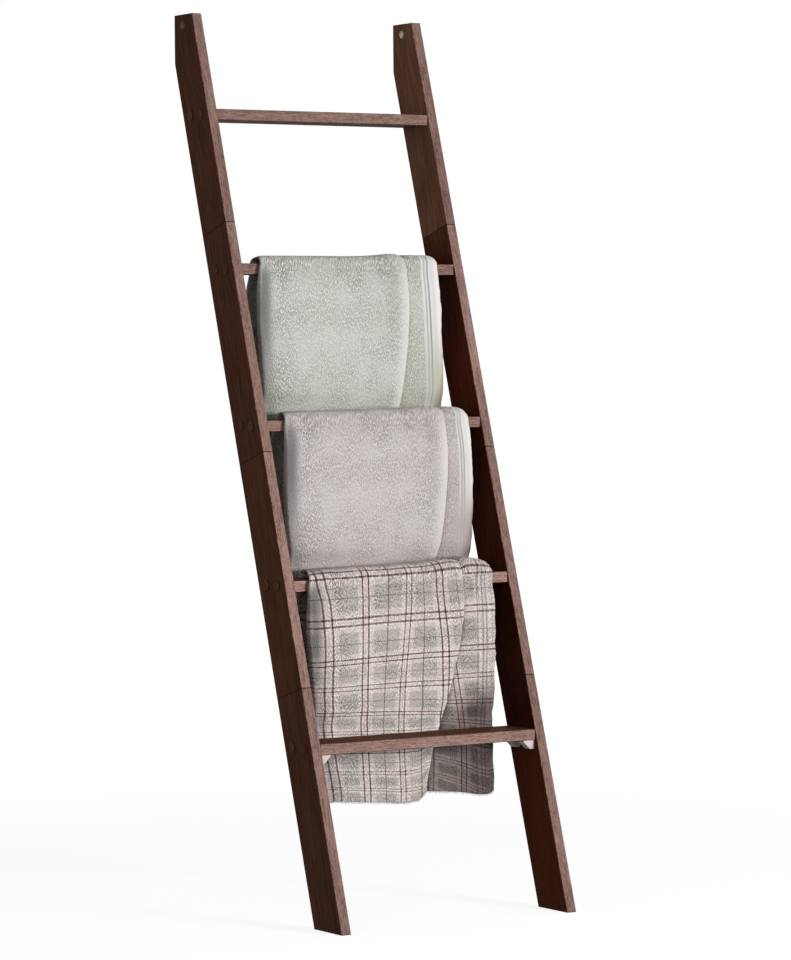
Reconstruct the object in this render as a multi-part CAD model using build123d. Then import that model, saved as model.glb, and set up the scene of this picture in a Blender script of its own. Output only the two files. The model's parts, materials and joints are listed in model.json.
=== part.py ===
from build123d import *

import math
import os

# A blanket ladder that leans on a wall. Each side rail is four boards screwed end to end. Four
# rungs and a shelf, all level boards, are bolted between the rails. A folded blanket hangs on
# each of three rungs.
# Frame: X runs along the rungs, +Y points back to the wall, +Z is up. The origin is on the
# floor, midway between the rails and midway between the feet's front and the wall.
# Lengths are in millimetres and angles in degrees.

# Rails, with their boards and the seams between them named from the floor up
overall_height = 1650.0
overall_width = 500.0
lean_angle = 17.0
rail_depth = 90.0
rail_thickness = 20.0
wall_cut_height = 90.0
foot_section_length = 445.0
middle_section_length = 437.0
edge_ease = 0.8
section_names = ["foot", "lower", "upper", "top"]
seam_names = ["low", "middle", "high"]

# Shelf and rungs, named from the floor up
shelf_top_height = 327.0
rung_spacing = 286.0
rung_thickness = 20.0
rung_names = ["shelf", "rung_4", "rung_3", "rung_2", "rung_1"]

# Holes for the wall straps
strap_hole_diameter = 14.0
strap_hole_from_wall = 31.0
strap_hole_below_top = 20.0

# Rung bolts, two at each end of every rung, and their threaded inserts and caps
bolt_pair_spacing = 38.0
bolt_shank_diameter = 6.0
bolt_head_diameter = 14.0
bolt_head_height = 2.6
bolt_head_ease = 0.4
bolt_reach_in_rung = 20.0
bolt_hole_clearance = 0.3
hex_key_width = 4.0
hex_key_depth = 1.6
counterbore_diameter = 16.0
counterbore_depth = 5.0
insert_diameter = 10.0
insert_length = 16.0
cap_diameter = 20.0
cap_height = 1.6
cap_edge_round = 1.2
cap_spigot_length = 2.0
cap_spigot_clearance = 0.15

# Dowels and double-ended studs that join the rail sections
dowel_diameter = 8.0
dowel_length = 40.0
dowel_pair_spacing = 58.0
dowel_end_ease = 0.8
stud_diameter = 6.0
stud_length = 56.0
stud_end_ease = 0.8
blind_hole_extra = 0.5
wood_fit_clearance = 0.05
thread_clearance = 0.05

# Corner braces under the shelf, two at each end
brace_width = 18.0
brace_reach = 23.0
brace_height = 16.5
brace_tip_height = 3.5
brace_foot_reach = 9.5
brace_setback = 3.0
brace_pair_spacing = 46.0
brace_edge_ease = 0.6
brace_screw_diameter = 3.0
brace_screw_bite = 12.0
brace_screw_head_diameter = 6.0
brace_screw_head_height = 1.8
brace_screw_pocket_clearance = 0.3
brace_screw_web = 4.0
brace_screw_offset = 4.2
shelf_screw_from_rail = 12.5
rail_screw_below_shelf = 11.0

# Folded blankets: two layers, the outer one narrower
blanket_layer_thickness = 5.0
blanket_width = 390.0
blanket_outer_width = 318.0
blanket_front_drop = 413.0
blanket_rear_drop = 340.0
blanket_clearance = 0.3
blanket_gap = 1.0
sage_offset = 4.0
rose_offset = 11.0
plaid_offset = -2.0

lean = math.radians(lean_angle)
lean_slope = math.tan(lean)
level_depth = rail_depth / math.cos(lean)
overall_depth = level_depth + (overall_height - wall_cut_height) * lean_slope
foot_front_y = -overall_depth / 2
wall_y = overall_depth / 2
rail_length = overall_height / math.cos(lean)
rung_length = overall_width - 2 * rail_thickness
rung_depth = level_depth - rung_thickness * lean_slope
rung_end_x = rung_length / 2
counterbore_floor = rail_thickness - counterbore_depth
sides = {"left": -1, "right": 1}


def front_y(height):
    """Y of the rails' front edge at a height."""
    return foot_front_y + height * lean_slope


def rung_top(index):
    """Height of a rung's top face; index 0 is the shelf."""
    return shelf_top_height + index * rung_spacing


def rung_front(index):
    """Y of a rung's front face, whose top corner is flush with the rails' front edge."""
    return front_y(rung_top(index))


def rung_back(index):
    return rung_front(index) + rung_depth


def rung_middle(index):
    return Vector(0, rung_front(index) + rung_depth / 2, rung_top(index) - rung_thickness / 2)


def on_rail(along, across):
    """Y and Z of a point on the rail's side: along its front edge from the floor, and back from it."""
    y = foot_front_y + along * math.sin(lean) + across * math.cos(lean)
    z = along * math.cos(lean) - across * math.sin(lean)
    return y, z


def rod_along_x(radius, length, start):
    """A round bar that starts at a point and runs towards +X, or towards -X for a negative length."""
    turn = 90 if length > 0 else -90
    bar = Cylinder(radius, abs(length), align=(Align.CENTER, Align.CENTER, Align.MIN))
    return Pos(*start) * Rot(0, turn, 0) * bar


def side_x(side, from_centre):
    return sides[side] * from_centre


def slab_on_side(outline, side, inner_x, thickness):
    """A closed Y-Z outline as a board that starts at inner_x and runs outwards on one side."""
    face = Plane.YZ * make_face(Polyline(*outline, close=True))
    board = extrude(face, amount=thickness, dir=(sides[side], 0, 0))
    return Pos(side_x(side, inner_x), 0, 0) * board


def bolt_places(index):
    """Side, Y and Z of each of a rung's bolts, two at each end."""
    middle = rung_middle(index)
    half = bolt_pair_spacing / 2
    return [(side, middle.Y + step, middle.Z) for side in sides for step in (-half, half)]


# Rails
def rail_outline():
    top_back_z = overall_height - wall_cut_height
    return [
        (foot_front_y, 0),
        (foot_front_y + level_depth, 0),
        (wall_y, top_back_z),
        (wall_y, overall_height),
        (front_y(overall_height), overall_height),
    ]


def seam_places():
    """Distances of the seams along a rail's front edge, from the floor."""
    return [foot_section_length + step * middle_section_length for step in range(len(seam_names))]


def section_span(number):
    """Where a rail section starts and ends along the front edge; the outer ends run past the rail."""
    cuts = [-rail_depth] + seam_places() + [rail_length + rail_depth]
    return cuts[number], cuts[number + 1]


def section_cutter(number):
    """A block as deep as the rail between a section's two seams."""
    start, end = section_span(number)
    corners = [(start, -rail_depth), (end, -rail_depth), (end, 2 * rail_depth), (start, 2 * rail_depth)]
    outline = [on_rail(along, across) for along, across in corners]
    face = Plane.YZ * make_face(Polyline(*outline, close=True))
    return extrude(face, amount=overall_width, both=True)


def bolt_holes(side):
    """Through holes and counterbores for every rung bolt in one rail."""
    cuts = []
    shank_radius = bolt_shank_diameter / 2 + bolt_hole_clearance
    for index in range(len(rung_names)):
        for at_side, y, z in bolt_places(index):
            if at_side != side:
                continue
            inner = (side_x(side, rung_end_x), y, z)
            floor = (side_x(side, rung_end_x + counterbore_floor), y, z)
            cuts.append(rod_along_x(shank_radius, side_x(side, rail_thickness), inner))
            cuts.append(rod_along_x(counterbore_diameter / 2, side_x(side, counterbore_depth), floor))
    return cuts


def strap_hole(side):
    y = wall_y - strap_hole_from_wall
    z = overall_height - strap_hole_below_top
    start = (side_x(side, rung_end_x), y, z)
    return rod_along_x(strap_hole_diameter / 2, side_x(side, rail_thickness), start)


def seam_rod(side, seam, across, radius, half_length):
    """A round bar centred on a seam, along the rail's axis, in the middle of its thickness."""
    y, z = on_rail(seam, across)
    middle = Pos(side_x(side, rung_end_x + rail_thickness / 2), y, z)
    return middle * Rot(-lean_angle, 0, 0) * Cylinder(radius, 2 * half_length)


def dowel_places():
    return [rail_depth / 2 - dowel_pair_spacing / 2, rail_depth / 2 + dowel_pair_spacing / 2]


def seam_dowels(side, seam):
    rods = [seam_rod(side, seam, across, dowel_diameter / 2, dowel_length / 2) for across in dowel_places()]
    return [chamfer(rod.edges(), dowel_end_ease) for rod in rods]


def seam_stud(side, seam):
    rod = seam_rod(side, seam, rail_depth / 2, stud_diameter / 2, stud_length / 2)
    return [chamfer(rod.edges(), stud_end_ease)]


def seam_holes(side, seam):
    dowel_radius = dowel_diameter / 2 + wood_fit_clearance
    dowel_reach = dowel_length / 2 + blind_hole_extra
    cuts = [seam_rod(side, seam, across, dowel_radius, dowel_reach) for across in dowel_places()]
    stud_radius = stud_diameter / 2 + thread_clearance
    stud_reach = stud_length / 2 + blind_hole_extra
    return cuts + [seam_rod(side, seam, rail_depth / 2, stud_radius, stud_reach)]


def rail_sections(side):
    """The four boards of one rail, from the foot up."""
    whole = slab_on_side(rail_outline(), side, rung_end_x, rail_thickness)
    holes = bolt_holes(side) + [strap_hole(side)]
    for seam in seam_places():
        holes += seam_holes(side, seam)
    holes += rail_brace_screw_holes(side)
    sections = []
    for number in range(len(section_names)):
        board = (whole & section_cutter(number)).solid()
        board = chamfer(board.edges(), edge_ease)
        sections.append(board - holes)
    return sections


# Rungs and shelf
def rung_board(index):
    board = Pos(rung_middle(index)) * Box(rung_length, rung_depth, rung_thickness)
    board = chamfer(board.edges(), edge_ease)
    insert_radius = insert_diameter / 2 + wood_fit_clearance
    shank_radius = bolt_shank_diameter / 2 + bolt_hole_clearance
    for side, y, z in bolt_places(index):
        end = (side_x(side, rung_end_x), y, z)
        board -= rod_along_x(insert_radius, side_x(side, -insert_length), end)
        board -= rod_along_x(shank_radius, side_x(side, -bolt_reach_in_rung - blind_hole_extra), end)
    return board


def rung_inserts(index):
    """Threaded sleeves in a rung's ends, flush with them."""
    sleeves = []
    bore = bolt_shank_diameter / 2 + thread_clearance
    for side, y, z in bolt_places(index):
        end = (side_x(side, rung_end_x), y, z)
        length = side_x(side, -insert_length)
        sleeves.append(rod_along_x(insert_diameter / 2, length, end) - rod_along_x(bore, length, end))
    return sleeves


def rung_bolts(index):
    """Flat-headed bolts that pass through the rails into a rung's inserts."""
    bolts = []
    for side, y, z in bolt_places(index):
        seat = (side_x(side, rung_end_x + counterbore_floor), y, z)
        top = (side_x(side, rung_end_x + counterbore_floor + bolt_head_height), y, z)
        shank_length = counterbore_floor + bolt_reach_in_rung
        shank = rod_along_x(bolt_shank_diameter / 2, side_x(side, -shank_length), seat)
        head = rod_along_x(bolt_head_diameter / 2, side_x(side, bolt_head_height), seat)
        head = chamfer(head.edges(), bolt_head_ease)
        hexagon = RegularPolygon(hex_key_width / 2, 6, major_radius=False)
        socket = Pos(*top) * Rot(0, 90, 0) * extrude(hexagon, amount=hex_key_depth, both=True)
        bolts.append(head + shank - socket)
    return bolts


def bolt_caps(index, side):
    """Round plastic caps that cover the bolt heads on a rail's outer face."""
    caps = []
    spigot_radius = counterbore_diameter / 2 - cap_spigot_clearance
    for at_side, y, z in bolt_places(index):
        if at_side != side:
            continue
        face = (side_x(side, overall_width / 2), y, z)
        disc = rod_along_x(cap_diameter / 2, side_x(side, cap_height), face)
        rim = disc.edges().sort_by(Axis.X)[-1 if sides[side] > 0 else 0]
        disc = fillet(rim, cap_edge_round)
        caps.append(disc + rod_along_x(spigot_radius, side_x(side, -cap_spigot_length), face))
    return caps


# Corner braces
def brace_middles():
    """Y of the middle of the front and the rear brace."""
    front = rung_front(0) + brace_setback + brace_width / 2
    return {"front": front, "rear": front + brace_pair_spacing}


def shelf_underside():
    return shelf_top_height - rung_thickness


def screw_and_pocket(root, towards, web, bite):
    """A pan-head screw and its clearance in the brace, from the mating face at root towards the head."""
    out = Location(Plane(origin=root, z_dir=towards))
    lift = (Align.CENTER, Align.CENTER, Align.MIN)
    drop = (Align.CENTER, Align.CENTER, Align.MAX)
    radius = brace_screw_diameter / 2
    shank = Cylinder(radius, bite, align=drop) + Cylinder(radius, web, align=lift)
    head = Pos(0, 0, web) * Cylinder(brace_screw_head_diameter / 2, brace_screw_head_height, align=lift)
    pocket_radius = brace_screw_head_diameter / 2 + brace_screw_pocket_clearance
    hole = Cylinder(radius + thread_clearance, bite + blind_hole_extra, align=drop)
    hole += Cylinder(radius + thread_clearance, web, align=lift)
    hole += Pos(0, 0, web) * Cylinder(pocket_radius, brace_reach, align=lift)
    return out * (shank + head), out * hole


def brace_screws(side, end):
    """The two screws of one brace with their holes: one up into the shelf, one out into the rail."""
    middle = brace_middles()[end]
    shelf_screw_x = side_x(side, rung_end_x - shelf_screw_from_rail)
    rail_screw_z = shelf_underside() - rail_screw_below_shelf
    into_shelf = (shelf_screw_x, middle - brace_screw_offset, shelf_underside())
    into_rail = (side_x(side, rung_end_x), middle + brace_screw_offset, rail_screw_z)
    return [
        screw_and_pocket(into_shelf, (0, 0, -1), brace_screw_web, brace_screw_bite),
        screw_and_pocket(into_rail, (side_x(side, -1), 0, 0), brace_screw_web, brace_screw_bite),
    ]


def brace_block(side, end):
    """A three-cornered block with its tip and foot cut off, in the corner of shelf and rail."""
    corner_x = rung_end_x
    top = shelf_underside()
    outline = [
        (side_x(side, corner_x), top),
        (side_x(side, corner_x - brace_reach), top),
        (side_x(side, corner_x - brace_reach), top - brace_tip_height),
        (side_x(side, corner_x - brace_foot_reach), top - brace_height),
        (side_x(side, corner_x), top - brace_height),
    ]
    face = Plane.XZ * make_face(Polyline(*outline, close=True))
    block = Pos(0, brace_middles()[end], 0) * extrude(face, amount=brace_width / 2, both=True)
    block = chamfer(block.edges(), brace_edge_ease)
    return block - [hole for screw, hole in brace_screws(side, end)]


def rail_brace_screw_holes(side):
    return [brace_screws(side, end)[1][1] for end in brace_middles()]


def shelf_board():
    holes = [brace_screws(side, end)[0][1] for side in sides for end in brace_middles()]
    return rung_board(0) - holes


# Blankets
def blanket_pack():
    return 2 * blanket_layer_thickness


def behind_next_rung(index, next_has_blanket):
    """How far a front panel's inner face stands behind its rung's front where it passes the next rung."""
    clear = rung_back(index - 1) - rung_front(index) + blanket_clearance
    if next_has_blanket:
        clear += blanket_pack() + blanket_gap
    return clear + blanket_pack()


def drape_face(index, next_has_blanket, thickness):
    """The side view of a hanging blanket: a band round the rung's top, down its front and back."""
    front = rung_front(index) - blanket_clearance
    back = rung_back(index) + blanket_clearance
    top = rung_top(index) + blanket_clearance
    under_rung = rung_top(index) - rung_thickness
    level = rung_top(index - 1) + blanket_pack() + blanket_gap
    hung_back = rung_front(index) + behind_next_rung(index, next_has_blanket)
    hem = rung_top(index) - blanket_front_drop
    rear_hem = rung_top(index) - blanket_rear_drop
    inner = [(front, under_rung), (hung_back, level), (hung_back, hem)]
    outer = [(y - thickness, z) for y, z in reversed(inner)]
    outline = Polyline((front, top), *inner, *outer, (front - thickness, top))
    outline += RadiusArc((front - thickness, top), (front, top + thickness), thickness)
    outline += Line((front, top + thickness), (back, top + thickness))
    outline += RadiusArc((back, top + thickness), (back + thickness, top), thickness)
    outline += Polyline((back + thickness, top), (back + thickness, rear_hem), (back, rear_hem))
    outline += Polyline((back, rear_hem), (back, top), (front, top))
    return make_face(outline)


def blanket(index, offset, next_has_blanket):
    """A folded blanket: two layers over its left part and one over the rest."""
    single = Plane.YZ * drape_face(index, next_has_blanket, blanket_layer_thickness)
    double = Plane.YZ * drape_face(index, next_has_blanket, blanket_pack())
    cloth = extrude(single, amount=blanket_width) + extrude(double, amount=blanket_outer_width)
    return Pos(offset - blanket_width / 2, 0, 0) * cloth


def save(name, solids):
    """Writes one node, with each of its solids named after it."""
    node = Compound(label=name, children=[solid.solid() for solid in solids])
    export_step(node, os.path.join("parts", f"{name}.step"))


os.makedirs("parts", exist_ok=True)

for side in sides:
    for section_name, board in zip(section_names, rail_sections(side)):
        save(f"{side}_rail_{section_name}", [board])
    for seam_name, seam in zip(seam_names, seam_places()):
        save(f"{side}_{seam_name}_seam_dowels", seam_dowels(side, seam))
        save(f"{side}_{seam_name}_seam_stud", seam_stud(side, seam))
    for end in brace_middles():
        save(f"{side}_{end}_brace", [brace_block(side, end)])
    screws = [screw for end in brace_middles() for screw, hole in brace_screws(side, end)]
    save(f"{side}_brace_screws", screws)

for index, rung_name in enumerate(rung_names):
    save(rung_name, [rung_board(index) if index else shelf_board()])
    save(f"{rung_name}_bolts", rung_bolts(index))
    save(f"{rung_name}_inserts", rung_inserts(index))
    for side in sides:
        save(f"{rung_name}_{side}_caps", bolt_caps(index, side))

save("sage_blanket", [blanket(3, sage_offset, True)])
save("rose_blanket", [blanket(2, rose_offset, True)])
save("plaid_blanket", [blanket(1, plaid_offset, False)])
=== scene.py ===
import json
import math

import bpy
import numpy as np
from mathutils import Matrix, Vector, noise


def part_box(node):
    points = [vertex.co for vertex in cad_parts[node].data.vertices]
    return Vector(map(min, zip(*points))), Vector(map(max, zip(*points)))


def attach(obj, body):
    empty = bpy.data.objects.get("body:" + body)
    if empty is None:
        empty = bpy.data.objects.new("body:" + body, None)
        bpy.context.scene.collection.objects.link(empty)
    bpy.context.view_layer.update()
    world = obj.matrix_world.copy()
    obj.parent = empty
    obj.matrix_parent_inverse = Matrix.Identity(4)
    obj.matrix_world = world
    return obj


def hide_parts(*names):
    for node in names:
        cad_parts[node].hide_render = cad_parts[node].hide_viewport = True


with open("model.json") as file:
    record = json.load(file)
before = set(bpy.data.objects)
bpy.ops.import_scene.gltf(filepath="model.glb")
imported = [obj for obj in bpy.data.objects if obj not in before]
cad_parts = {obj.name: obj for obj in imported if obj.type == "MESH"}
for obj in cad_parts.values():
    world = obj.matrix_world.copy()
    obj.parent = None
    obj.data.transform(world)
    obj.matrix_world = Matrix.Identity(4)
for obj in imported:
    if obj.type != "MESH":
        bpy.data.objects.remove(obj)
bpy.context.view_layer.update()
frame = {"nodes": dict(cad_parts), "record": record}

# A blanket ladder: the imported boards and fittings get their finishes, and three folded
# blankets are modelled over the rungs. Lengths are in metres unless a note says millimetres.

nodes = frame["nodes"]
mounts = {mount["name"]: mount for mount in frame["record"]["mounts"]}
mm = 0.001
print("frame: %d pieces" % len(nodes))


# small helpers

class Field:
    # a node's output, which sums can be written with
    def __init__(self, tree, socket):
        self.tree, self.socket = tree, socket

    def __add__(self, other):
        return maths("ADD", self, other)

    def __sub__(self, other):
        return maths("SUBTRACT", self, other)

    def __rsub__(self, other):
        return maths("SUBTRACT", other, self)

    def __mul__(self, other):
        return maths("MULTIPLY", self, other)

    def __abs__(self):
        return maths("ABSOLUTE", self)


def addNode(tree, kind, inputs=None, **settings):
    node = tree.nodes.new(kind)
    for name, value in settings.items():
        setattr(node, name, value)
    for name, value in (inputs or {}).items():
        if isinstance(value, Field):
            tree.links.new(value.socket, node.inputs[name])
        else:
            node.inputs[name].default_value = value
    return node


def made(tree, kind, inputs=None, output=0, **settings):
    return Field(tree, addNode(tree, kind, inputs, **settings).outputs[output])


def outputs(tree, kind, inputs=None, **settings):
    return {socket.name: Field(tree, socket) for socket in addNode(tree, kind, inputs, **settings).outputs}


def feed(inputs, fields):
    for name, field in fields.items():
        field.tree.links.new(field.socket, inputs[name])


def newTree(name, kind, takes, gives):
    # a node group with its named sockets, and what comes in and goes out
    tree = bpy.data.node_groups.new(name, kind)
    for sockets, way in ((takes, "INPUT"), (gives, "OUTPUT")):
        for title, socket in sockets.items():
            tree.interface.new_socket(title, in_out=way, socket_type="NodeSocket" + socket)
    return tree, outputs(tree, "NodeGroupInput"), addNode(tree, "NodeGroupOutput").inputs


def maths(operation, first, second=0.0):
    tree = (first if isinstance(first, Field) else second).tree
    return made(tree, "ShaderNodeMath", {0: first, 1: second}, operation=operation)


def larger(first, second):
    return maths("MAXIMUM", first, second)


def eased(value, low, high, start=0.0, end=1.0):
    inputs = {0: value, 1: low, 2: high, 3: start, 4: end}
    return made(value.tree, "ShaderNodeMapRange", inputs, interpolation_type="SMOOTHSTEP")


def mixed(share, first, second):
    return made(share.tree, "ShaderNodeMix", {0: share, 2: first, 3: second})


def blended(share, first, second):
    return made(share.tree, "ShaderNodeMix", {0: share, 6: first, 7: second}, 2, data_type="RGBA")


def tinted(color, tint, share=1.0):
    inputs = {0: share, 6: color, 7: tint}
    return made(color.tree, "ShaderNodeMix", inputs, 2, data_type="RGBA", blend_type="MULTIPLY")


def vectorMaths(operation, first, second=(0, 0, 0), output=0):
    return made(first.tree, "ShaderNodeVectorMath", {0: first, 1: second}, output, operation=operation)


def stretched(place, scale):
    return vectorMaths("MULTIPLY", place, scale)


def splitUp(vector):
    return list(outputs(vector.tree, "ShaderNodeSeparateXYZ", {0: vector}).values())


def roughNoise(place, scale, detail, roughness, distortion=0.0):
    inputs = {"Vector": stretched(place, scale), "Scale": 1.0, "Detail": detail, "Roughness": roughness,
              "Distortion": distortion}
    return made(place.tree, "ShaderNodeTexNoise", inputs, "Fac")


def newMaterial(name):
    material = bpy.data.materials.new(name)
    material.use_nodes = True
    return material, material.node_tree, material.node_tree.nodes["Principled BSDF"]


def finishShader(shader, color, roughness, height, strength, depth, **values):
    # the bump's depth is a length, and the other values go on the shader's own sockets
    bump = made(color.tree, "ShaderNodeBump", {"Strength": strength, "Distance": depth, "Height": height})
    feed(shader.inputs, {"Base Color": color, "Roughness": roughness, "Normal": bump})
    for name, value in values.items():
        shader.inputs[name.replace("_", " ")].default_value = value


def placed(name, data):
    thing = bpy.data.objects.new(name, data)
    bpy.context.scene.collection.objects.link(thing)
    return thing


def paint(piece, material):
    piece.data.materials.clear()
    piece.data.materials.append(material)


def unit(vectors):
    return vectors / np.linalg.norm(vectors, axis=-1, keepdims=True)


# stained boards

board = {
    # partly painted light and shade: the wide side faces are set dark and the narrow front and back edges light, more
    # than the stain alone would differ
    "faceDark": (0.040, 0.0105, 0.0053, 1),
    "faceLight": (0.117, 0.046, 0.0245, 1),
    "edgeDark": (0.050, 0.024, 0.019, 1),
    "edgeLight": (0.330, 0.206, 0.172, 1),
    "poreColor": (0.018, 0.009, 0.007, 1),
    "endGrain": (0.022, 0.009, 0.006, 1),
    "corner": (0.060, 0.028, 0.021, 1),
    "cornerPale": (0.34, 0.21, 0.17, 1),
    "rawWoodAndLight": {"left_rail_top": (0.42, 0.24, 0.19, 1), "right_rail_top": (0.95, 0.85, 0.72, 1)},  # in the strap holes; the right one is set far lighter, a painted light on the hole's wall
    "roughness": (0.82, 0.62),
    "gloss": 0.05,
    "poreDepth": 0.35 * mm,
    "grain": {  # stretch along and across the board, detail, roughness, distortion
        "streaks": ((16, 330, 330), 6, 0.62, 0.5),
        "patches": ((5, 22, 22), 3, 0.5, 0.4),
        "pores": ((140, 1500, 1500), 2, 0.6),
        "flecks": ((95, 470, 470), 5, 0.7, 1.4),
        "lines": ((30, 620, 620), 3, 0.6, 0.6),
    },
    "rings": {"Scale": 4.2, "Distortion": 5.5, "Detail": 3.0, "Detail Scale": 1.4, "Detail Roughness": 0.6},
    "ringStretch": (1.5, 10, 10),
    "plainTone": (1.0, 0.93, 0.86, 1),  # on every face towards +X
    "rungTone": (0.8, 0.72, 0.66),
    "tones": {  # each board took the stain a little differently; on the right rail these tones are painted shade and light as well, darkest on its inner faces beside the blankets and much lighter at its top
        "left_rail_top": (1.0, 0.98, 0.9), "left_rail_upper": (1.02, 1.0, 0.9),
        "left_rail_lower": (1.12, 1.13, 0.93), "left_rail_foot": (0.94, 0.95, 0.95),
        "right_rail_top": (2.5, 3.2, 3.45), "right_rail_upper": (0.66, 0.285, 0.17),
        "right_rail_lower": (0.50, 0.19, 0.075), "right_rail_foot": (0.92, 0.60, 0.37),
        "shelf": (0.97, 1.03, 0.61),
    },
    "fades": {  # from one height to another a board's tone passes into this one: painted light and shade down the right rail, lighter above the top blanket and darker beside the lower blankets
        "right_rail_upper": (1.17, 1.262, (1.35, 1.2, 0.75, 1)),
        "right_rail_lower": (0.74, 0.50, (0.40, 0.135, 0.052, 1)),
        "right_rail_foot": (0.318, 0.335, (0.36, 0.125, 0.05, 1)),
    },
    # how light each board's front and back edges are set, partly painted light: the edges are made as bright as they
    # look lit
    "edgeTones": {
        "left_rail_lower": 1.35, "left_rail_upper": 1.04, "right_rail_top": 0.96, "right_rail_upper": 1.13,
        "right_rail_lower": 1.08, "rung_1": 1.08, "rung_3": 1.15, "rung_4": 1.5, "shelf": 1.22,
    },
}
topCorner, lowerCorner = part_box("left_rail_top")[0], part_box("left_rail_lower")[0]
lean = math.atan2(topCorner[1] - lowerCorner[1], topCorner[2] - lowerCorner[2])
railTurn = (lean, math.pi / 2, 0)


def makeGrainGroup():
    # the grain runs along X of the place that comes in, the board's width is Y and its thickness Z
    tree, came, goes = newTree("stainedGrain", "ShaderNodeTree", {"Place": "Vector", "Edge": "Float"},
                               {"Color": "Color", "Roughness": "Float", "Height": "Float"})
    place = came["Place"]
    streaks, patches, pores, flecks, lines = (roughNoise(place, *field) for field in board["grain"].values())
    rings = {"Vector": stretched(place, board["ringStretch"]), **board["rings"]}
    rings = made(tree, "ShaderNodeTexWave", rings, "Fac", wave_type="RINGS", rings_direction="X", wave_profile="SAW")
    patchy = eased(patches, 0.3, 0.7)
    faceTone = eased(streaks, 0.32, 0.72) * 0.5 + rings * 0.3 + patchy * 0.35
    sideTone = eased(flecks, 0.38, 0.6) * 0.5 + eased(lines, 0.36, 0.62) * 0.38 + patchy * 0.22
    # partly painted light and shade: the face colours are darker than the edge colours
    face = blended(faceTone, board["faceDark"], board["faceLight"])
    side = blended(sideTone, board["edgeDark"], board["edgeLight"])
    color = blended(eased(pores, 0.62, 0.75, 0, 0.45), blended(came["Edge"], face, side), board["poreColor"])
    feed(goes, {"Color": color, "Roughness": eased(streaks, 0.3, 0.7, *board["roughness"]),
                "Height": streaks * 0.8 - pores * 0.5})
    return tree


def makeBoardMaterial(name, turn, shift):
    material, tree, shader = newMaterial("stained " + name.replace("_", " "))
    coords = outputs(tree, "ShaderNodeTexCoord")
    here, normal = coords["Object"], coords["Normal"]
    facing = abs(splitUp(normal)[1])
    edge = eased(facing, 0.45, 0.8)
    place = made(tree, "ShaderNodeMapping", {"Vector": here, "Rotation": turn, "Location": shift})
    grain = outputs(tree, "ShaderNodeGroup", {"Place": place, "Edge": edge}, node_tree=grainGroup)
    # painted shade and light along with the stain: each board's tone and fade go on its faces towards -X
    tone = board["tones"].get(name, board["rungTone"]) + (1.0,)
    if name in board["fades"]:
        low, high, end = board["fades"][name]
        tone = blended(eased(splitUp(here)[2], low, high), tone, end)
    tone = blended(eased(splitUp(normal)[0], -0.2, 0.2), tone, board["plainTone"])
    edgeTone = board["edgeTones"].get(name, 1.0)
    color = tinted(grain["Color"], blended(edge, tone, (edgeTone, edgeTone, edgeTone, 1)))

    # the eased corners between a face and an edge are darker, and paler in spots here and there
    onCorner = larger(1.0 - abs(facing - 0.68) * 5.5, 0.0)
    paleSpots = eased(roughNoise(here, (70, 70, 70), 3, 0.6), 0.55, 0.68)
    color = blended(onCorner * 0.85, color, blended(paleSpots, board["corner"], board["cornerPale"]))
    turned = made(tree, "ShaderNodeVectorRotate", {"Vector": normal, "Rotation": turn}, rotation_type="EULER_XYZ")
    color = blended(eased(abs(splitUp(turned)[0]), 0.25, 0.5), color, board["endGrain"])

    # raw wood in the strap hole, with painted light in the right one
    if name in board["rawWoodAndLight"]:
        hole = mounts[name.replace("rail_top", "strap_hole")]
        radius = hole["dims"]["r_mm"] * mm
        middle = (0, hole["pos_m"][1], hole["pos_m"][2])
        away = vectorMaths("DISTANCE", stretched(here, (0, 1, 1)), middle, "Value")
        color = blended(eased(away, radius + 0.6 * mm, radius + 0.1 * mm), color, board["rawWoodAndLight"][name])
    finishShader(shader, color, grain["Roughness"], grain["Height"], 0.6, board["poreDepth"],
                 Specular_IOR_Level=board["gloss"])
    return material


grainGroup = makeGrainGroup()
for side, sideShift in (("left", 0.0), ("right", 0.77)):
    for order, section in enumerate(("foot", "lower", "upper", "top")):
        name = side + "_rail_" + section
        paint(nodes[name], makeBoardMaterial(name, railTurn, (1.37 * order, 0.31 * order + sideShift, 0.071 * order)))
for order, name in enumerate(("shelf", "rung_4", "rung_3", "rung_2", "rung_1")):
    paint(nodes[name], makeBoardMaterial(name, (0, 0, 0), (0.83 * order, 0.19 * order, 0.053 * order)))
print("boards: stained")


# fittings: caps, braces, screws, bolts, inserts, studs and dowels

fitting = {
    "capColor": (0.082, 0.029, 0.016, 1),
    "capScuff": (0.112, 0.045, 0.027, 1),
    "capRim": (0.020, 0.008, 0.005, 1),
    "braceColor": (0.66, 0.55, 0.535, 1),
    "braceGrime": (0.44, 0.35, 0.335, 1),
    "zincLight": (0.72, 0.72, 0.70, 1),
    "zincDark": (0.42, 0.42, 0.40, 1),
    "beechLight": (0.66, 0.47, 0.29, 1),
    "beechDark": (0.44, 0.28, 0.15, 1),
}


def makeMouldedPlastic(name, color, marks, roughness, stippling, gloss, rim=None):
    material, tree, shader = newMaterial(name)
    coords = outputs(tree, "ShaderNodeTexCoord")
    cloudy = roughNoise(coords["Object"], (60, 60, 60), 3, 0.6)
    stipple = roughNoise(coords["Object"], (stippling,) * 3, 2, 0.5)
    plastic = blended(eased(cloudy, 0.42, 0.75, 0, 0.7), color, marks)
    if rim:  # painted shade darkens the rim
        plastic = blended(eased(abs(splitUp(coords["Normal"])[0]), 0.9, 0.6), plastic, rim)
    dull = eased(cloudy, 0.3, 0.7, roughness + 0.1, roughness - 0.08)
    finishShader(shader, plastic, dull, stipple, 0.35, 0.12 * mm, Specular_IOR_Level=gloss)
    return material


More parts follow.
